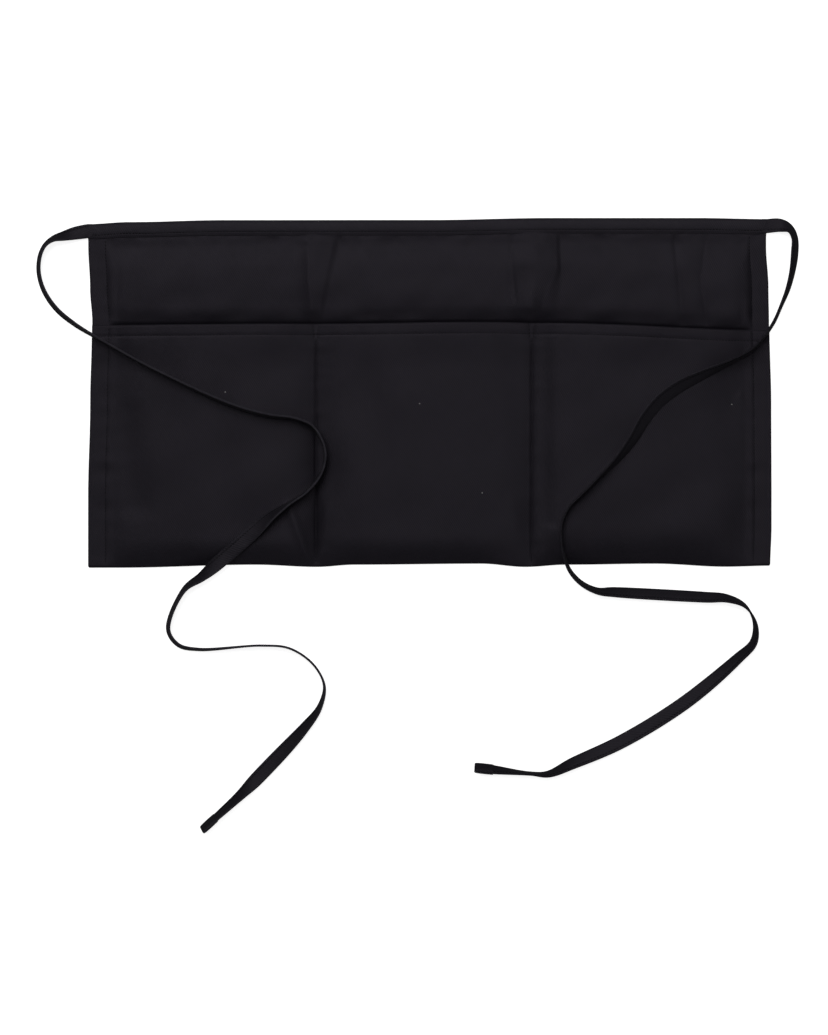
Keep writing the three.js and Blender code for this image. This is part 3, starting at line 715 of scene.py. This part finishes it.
def tape_course(route, side):
    """The tape's middle line with, at each point, its direction, the way across it and through it."""
    line = smooth_line(np.array(route, float) * (0.001, 0.001, 0.001, 1), tie_step)
    roll = np.radians(line[:, 3])
    middle = line[:, :3].copy()
    middle[:, 0] += pulled_in(np.array(side * half_width), half_height) + side * gap
    middle[:, 1] += top_at(side * half_width) - tie_width / 2
    middle[:, 2] += (np.abs(np.sin(roll)) * tie_width + np.abs(np.cos(roll)) * tie_thickness) / 2
    way = np.gradient(line[:, :3], axis=0)
    way[0] = (side, 0, 0)
    way = unit(way)
    sideways = unit(np.cross((0, 0, 1), way))
    upwards = unit(np.cross(way, sideways))
    across = sideways * np.cos(roll)[:, None] + upwards * np.sin(roll)[:, None]
    return middle, way, across, np.cross(way, across)


def run_lengths(points):
    """The length along a line of points, from its start to each of them."""
    return np.concatenate([[0], np.cumsum(np.linalg.norm(np.diff(points, axis=0), axis=1))])


def tube(name, rings, lengths):
    """A closed piece from rings of corners, with the length round the ring and along it as its UV."""
    rings = np.concatenate([rings, rings[:, :1]], axis=1)
    count, sides = rings.shape[:2]
    round_it = np.linalg.norm(np.diff(rings, axis=1), axis=2).mean(axis=0).cumsum()

    def place(u, v):
        corner = rings[np.rint(v).astype(int), np.rint(u).astype(int)]
        across = np.concatenate([[0], round_it])[np.rint(u).astype(int)]
        return (*corner.T, across, lengths[np.rint(v).astype(int)])

    piece = grid_of(name, np.arange(sides), np.arange(count), place)
    bpy.ops.object.mode_set(mode="EDIT")
    bpy.ops.mesh.select_all(action="SELECT")
    bpy.ops.mesh.remove_doubles(threshold=0.000001)
    bpy.ops.mesh.fill_holes(sides=0)
    bpy.ops.mesh.select_all(action="SELECT")
    bpy.ops.mesh.normals_make_consistent(inside=False)
    bpy.ops.object.mode_set(mode="OBJECT")
    bpy.ops.object.shade_smooth_by_angle(angle=math.radians(50))
    return piece


def section_rings(middle, across, through, section, width=1, height=1):
    """A ring of corners at each point of a middle line, from half of a section and its mirror image."""
    half = np.array(section) * 0.001
    whole = np.vstack([half, half[-2:0:-1] * (1, -1)])
    wide, high = whole[None, :, :1] * width, whole[None, :, 1:] * height
    return middle[:, None] + across[:, None] * wide + through[:, None] * high


# The ends of the ties are turned back on themselves and sewn across, so they are nearly twice as thick.
# Each tip is a piece of its own that starts just inside the end of its tie.
end_length = 0.016
end_thickness = 0.0036
tip_overlap = 0.0007  # each tip starts this far before the end of its tie
tip_length = end_length + 0.001
# Stations along a tip as (share of its length, of the tie's width and of the tip's thickness).
end_stations = [(0, 1, 0.84), (0.05, 1, 1), (0.15, 1.01, 1.04), (0.2, 1, 0.97), (0.26, 1.01, 1.05),
                (0.6, 1.01, 1.06), (0.82, 1, 1), (0.93, 0.99, 0.9), (0.98, 0.97, 0.7), (1, 0.94, 0.4)]
courses = {}
for side, name, route in ((-1, "left", left_route), (1, "right", right_route)):
    middle, way, across, through = tape_course(route, side)
    courses[name] = (middle, way, across, through)
    lengths = run_lengths(middle)
    inner = np.vstack([middle[:1] - way[:1] * tie_inset, middle])
    rings = section_rings(
        inner, np.vstack([across[:1], across]), np.vstack([through[:1], through]), tape_section)
    tie = tube("tie_tape_" + name, rings, np.concatenate([[-tie_inset], lengths]))
    tie.data.materials.append(tie_tape_with_painted_light)
    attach(tie, "root")
    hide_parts("tie_" + name)

    last = [row[-1:] for row in courses[name]]
    shares, widths, heights = np.array(end_stations).T[:, :, None]
    lift = (0, 0, (end_thickness - tie_thickness) / 2 * abs(last[2][0, :2] @ last[2][0, :2]) ** 0.5)
    stations = last[0] + last[1] * (shares * tip_length - tip_overlap) + lift
    rings = section_rings(
        stations, np.repeat(last[2], len(stations), 0), np.repeat(last[3], len(stations), 0), tape_section,
        widths[:, None], heights[:, None] * end_thickness / tie_thickness)
    tip = tube("tie_tip_" + name, rings, shares[:, 0] * end_length)
    tip.data.materials.append(tie_tape_with_painted_light)
    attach(tip, "root")
    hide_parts("tie_end_" + name)

# The stitches: black polyester thread, lockstitched about nine to the inch. Each stitch is a short
# rounded length of thread that sinks into the groove that it pulls in the cloth.
stitch_pitch = 0.0028
stitch_length = 0.0022
stitch_width = 0.0007
seam_end = 0.002  # the seams end this far from the edges
divider_seam_end = 0.0012  # the dividers' this far from the mouths
side_seam_end = 0.001  # and the sides' this far from the mouths and the band
tie_seam = 0.0039  # from the middle of the tie's tape across to its stitches
tie_seam_height = 0.0007  # and from its middle up or down to them

# Polyester thread, dyed black: matt, with a fine grain for its strands. It is kept darker and duller than
# the cloth so that each row reads dark: painted shade for the groove that it pulls in.
thread, shader = fibrous("black polyester thread with painted groove shade", 2500, "#0a0a0c", "#18171b", 0.7)
shader.inputs["Specular IOR Level"].default_value = 0.04


def sew(name, seams):
    """A row of stitches along each seam, a list of points, joined as one piece."""
    rows = []
    for points in seams:
        points = np.asarray(points)
        line = bpy.data.curves.new("seam", "CURVE")
        line.dimensions = "3D"
        spline = line.splines.new("POLY")
        spline.points.add(len(points) - 1)
        spline.points.foreach_set("co", np.column_stack([points, np.ones(len(points))]).ravel())
        guide = bpy.data.objects.new("seam", line)
        bpy.context.collection.objects.link(guide)
        bpy.ops.object.select_all(action="DESELECT")
        bpy.ops.mesh.primitive_uv_sphere_add(segments=6, ring_count=4, radius=0.5)
        row = bpy.context.object
        bpy.ops.object.mode_set(mode="EDIT")
        bpy.ops.mesh.select_all(action="SELECT")
        bpy.ops.transform.rotate(value=math.pi / 2, orient_axis="Y", center_override=(0, 0, 0))
        bpy.ops.transform.resize(value=(stitch_length, stitch_width, stitch_width))
        bpy.ops.transform.translate(value=(stitch_pitch / 2, 0, 0))
        bpy.ops.object.mode_set(mode="OBJECT")
        repeat = row.modifiers.new("repeat", "ARRAY")
        repeat.count = int(run_lengths(points)[-1] / stitch_pitch)
        repeat.use_relative_offset = False
        repeat.use_constant_offset = True
        repeat.constant_offset_displace = (stitch_pitch, 0, 0)
        follow = row.modifiers.new("follow", "CURVE")
        follow.object = guide
        bpy.ops.object.modifier_apply(modifier="repeat")
        bpy.ops.object.modifier_apply(modifier="follow")
        bpy.data.objects.remove(guide)
        bpy.ops.object.shade_smooth()
        rows.append(row)
    bpy.ops.object.select_all(action="DESELECT")
    for row in rows:
        row.select_set(True)
    bpy.context.view_layer.objects.active = rows[0]
    if len(rows) > 1:
        bpy.ops.object.join()
    rows[0].name = name
    rows[0].data.materials.append(thread)
    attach(rows[0], "root")
    return rows[0]


def seam_on(top, x, y, sink=0.0):
    """Points of a seam on a cloth's face."""
    return np.column_stack([pulled_in(x, y), y, top(x, y) - sink])


seam_x = np.linspace(-half_width + seam_end, half_width - seam_end, 420)
seam_share = np.linspace(0.01, 0.995, 200)
hem_line = mouth_at(seam_x) - pocket_hem_seam
sew("pocket_hem_stitches", [seam_on(pocket_top, seam_x, hem_line)])
divider_seams = []
for x_seam in (-left_divider, right_divider):
    x = np.full(len(seam_share), x_seam)
    y = mix(bottom_at(x) + seam_end, mouth_at(x) - divider_seam_end, seam_share)
    tack = y > mouth_at(x) - tack_length
    divider_seams.append(seam_on(pocket_top, x[~tack], y[~tack]))
    for aside in (-tack_half_width, tack_half_width):
        divider_seams.append(seam_on(pocket_top, x[tack] + aside, y[tack]))
sew("divider_stitches", divider_seams)
side_seams = []
for x_seam in (-hem_seam, hem_seam):
    x = np.full(len(seam_share), x_seam)
    y = mix(bottom_at(x) + seam_end, mouth_at(x) - side_seam_end, seam_share)
    side_seams.append(seam_on(pocket_top, x, y))
    y = mix(mouth_at(x) + seam_end, top_at(x) - band_width - side_seam_end, seam_share)
    side_seams.append(seam_on(body_top, x, y))
sew("side_hem_stitches", side_seams)
band_line = np.linspace(-half_width, half_width, 420)
band_points = np.column_stack(band_place(band_line, np.full(len(band_line), front_share))[:3])
sew("waistband_stitches", [band_points + (0, 0, table_gap)])
for name, (middle, way, across, through) in courses.items():
    heights = (tie_seam_height, -tie_seam_height)
    faces = [middle - across * tie_seam + through * high for high in heights]
    sew("tie_stitches_" + name, faces)

# Lint: four tiny tufts of pale fluff that have settled on the pockets, a few short fibres each. They are
# dry cotton fibres, rough and without sheen.
fluff, shader = fibrous("pale cotton lint", 3000, "#8c8a8c", "#d8d6d4", 0.9)
lint_places = [(-0.1828, 0.0004), (-0.0091, -0.0099), (0.0466, -0.0893), (0.2693, -0.0104)]
lint_size = 0.0005
fibre_width = 0.00012
fibres = 6
fibre_points = 6
lint_height = 0.0002
chance = np.random.default_rng(29)
bpy.ops.object.select_all(action="DESELECT")
line = bpy.data.curves.new("lint", "CURVE")
line.dimensions = "3D"
line.bevel_depth = fibre_width
line.bevel_resolution = 1
for x, y in lint_places:
    x, y = np.array([x]), np.array([y])
    middle = np.array([pulled_in(x, y)[0], y[0], pocket_top(x, y)[0] + lint_height])
    for turn in chance.uniform(0, 2 * np.pi, fibres):
        spline = line.splines.new("POLY")
        spline.points.add(fibre_points - 1)
        t = np.linspace(-1, 1, fibre_points)
        bend = chance.uniform(-0.5, 0.5)
        along = lint_size * t
        aside = lint_size * bend * (1 - t**2)
        rows = np.column_stack([
            middle[0] + along * math.cos(turn) - aside * math.sin(turn),
            middle[1] + along * math.sin(turn) + aside * math.cos(turn),
            middle[2] + lint_size * chance.uniform(0, 0.5) * (1 - t**2),
            np.ones(fibre_points),
        ])
        spline.points.foreach_set("co", rows.ravel())
lint = bpy.data.objects.new("lint", line)
bpy.context.collection.objects.link(lint)
bpy.context.view_layer.objects.active = lint
lint.select_set(True)
bpy.ops.object.convert(target="MESH")
lint = bpy.context.object
bpy.ops.object.shade_smooth()
lint.data.materials.append(fluff)
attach(lint, "root")

# The table: a plain white sheet that glows for the camera alone. A wide soft light hangs above, a little
# towards the waistband and the left, as for a catalogue picture. A ring of weak low lights shows the folds
# to a camera at the side, and the camera itself looks straight down.
bpy.ops.object.select_all(action="DESELECT")
bpy.ops.mesh.primitive_plane_add(size=30, location=(0, 0, -0.0002))
table = bpy.context.object
table.name = "table"
table.visible_glossy = False
table.visible_diffuse = False
paper = bpy.data.materials.new("white paper")
paper.use_nodes = True
paper_shader = paper.node_tree.nodes["Principled BSDF"]
paper_shader.inputs["Base Color"].default_value = colour("#f6f6f6")
paper_shader.inputs["Roughness"].default_value = 0.9
paper_shader.inputs["Specular IOR Level"].default_value = 0.1
paper_shader.inputs["Emission Color"].default_value = (1, 1, 1, 1)
paper_shader.inputs["Emission Strength"].default_value = 0.86
table.data.materials.append(paper)


def soft_light(name, place, aim, size, power):
    """A soft square light that points at a place."""
    lamp = bpy.data.lights.new(name, "AREA")
    lamp.size = size
    lamp.energy = power
    made = bpy.data.objects.new(name, lamp)
    made.location = place
    down = np.array(aim) - np.array(place)
    made.rotation_euler = (math.atan2(math.hypot(down[0], down[1]), -down[2]), 0,
                           math.atan2(down[0], -down[1]) + math.pi)
    made.visible_camera = False
    bpy.context.collection.objects.link(made)


soft_light("softbox", (-0.8, 2.0, 4.2), (0, 0, 0), size=3.2, power=85)
low_distance = 3.5
low_height = 0.9
for turn in range(0, 360, 45):
    away = low_distance * np.array([math.sin(math.radians(turn)), math.cos(math.radians(turn))])
    soft_light(f"low light {turn}", (*away, low_height), (0, 0, 0), size=1, power=4.5)

world = bpy.data.worlds.new("studio")
world.use_nodes = True
world.node_tree.nodes["Background"].inputs["Color"].default_value = (1, 1, 1, 1)
world.node_tree.nodes["Background"].inputs["Strength"].default_value = 0.06
bpy.context.scene.world = world
bpy.context.scene.view_settings.view_transform = "Standard"

view_height = 0.924
view_middle = (-0.0141, -0.1112)
camera = bpy.data.objects.new("camera", bpy.data.cameras.new("camera"))
camera.data.lens = 100
camera.data.sensor_width = 36
camera.location = (*view_middle, view_height * camera.data.lens / camera.data.sensor_width)
bpy.context.collection.objects.link(camera)
bpy.context.scene.camera = camera
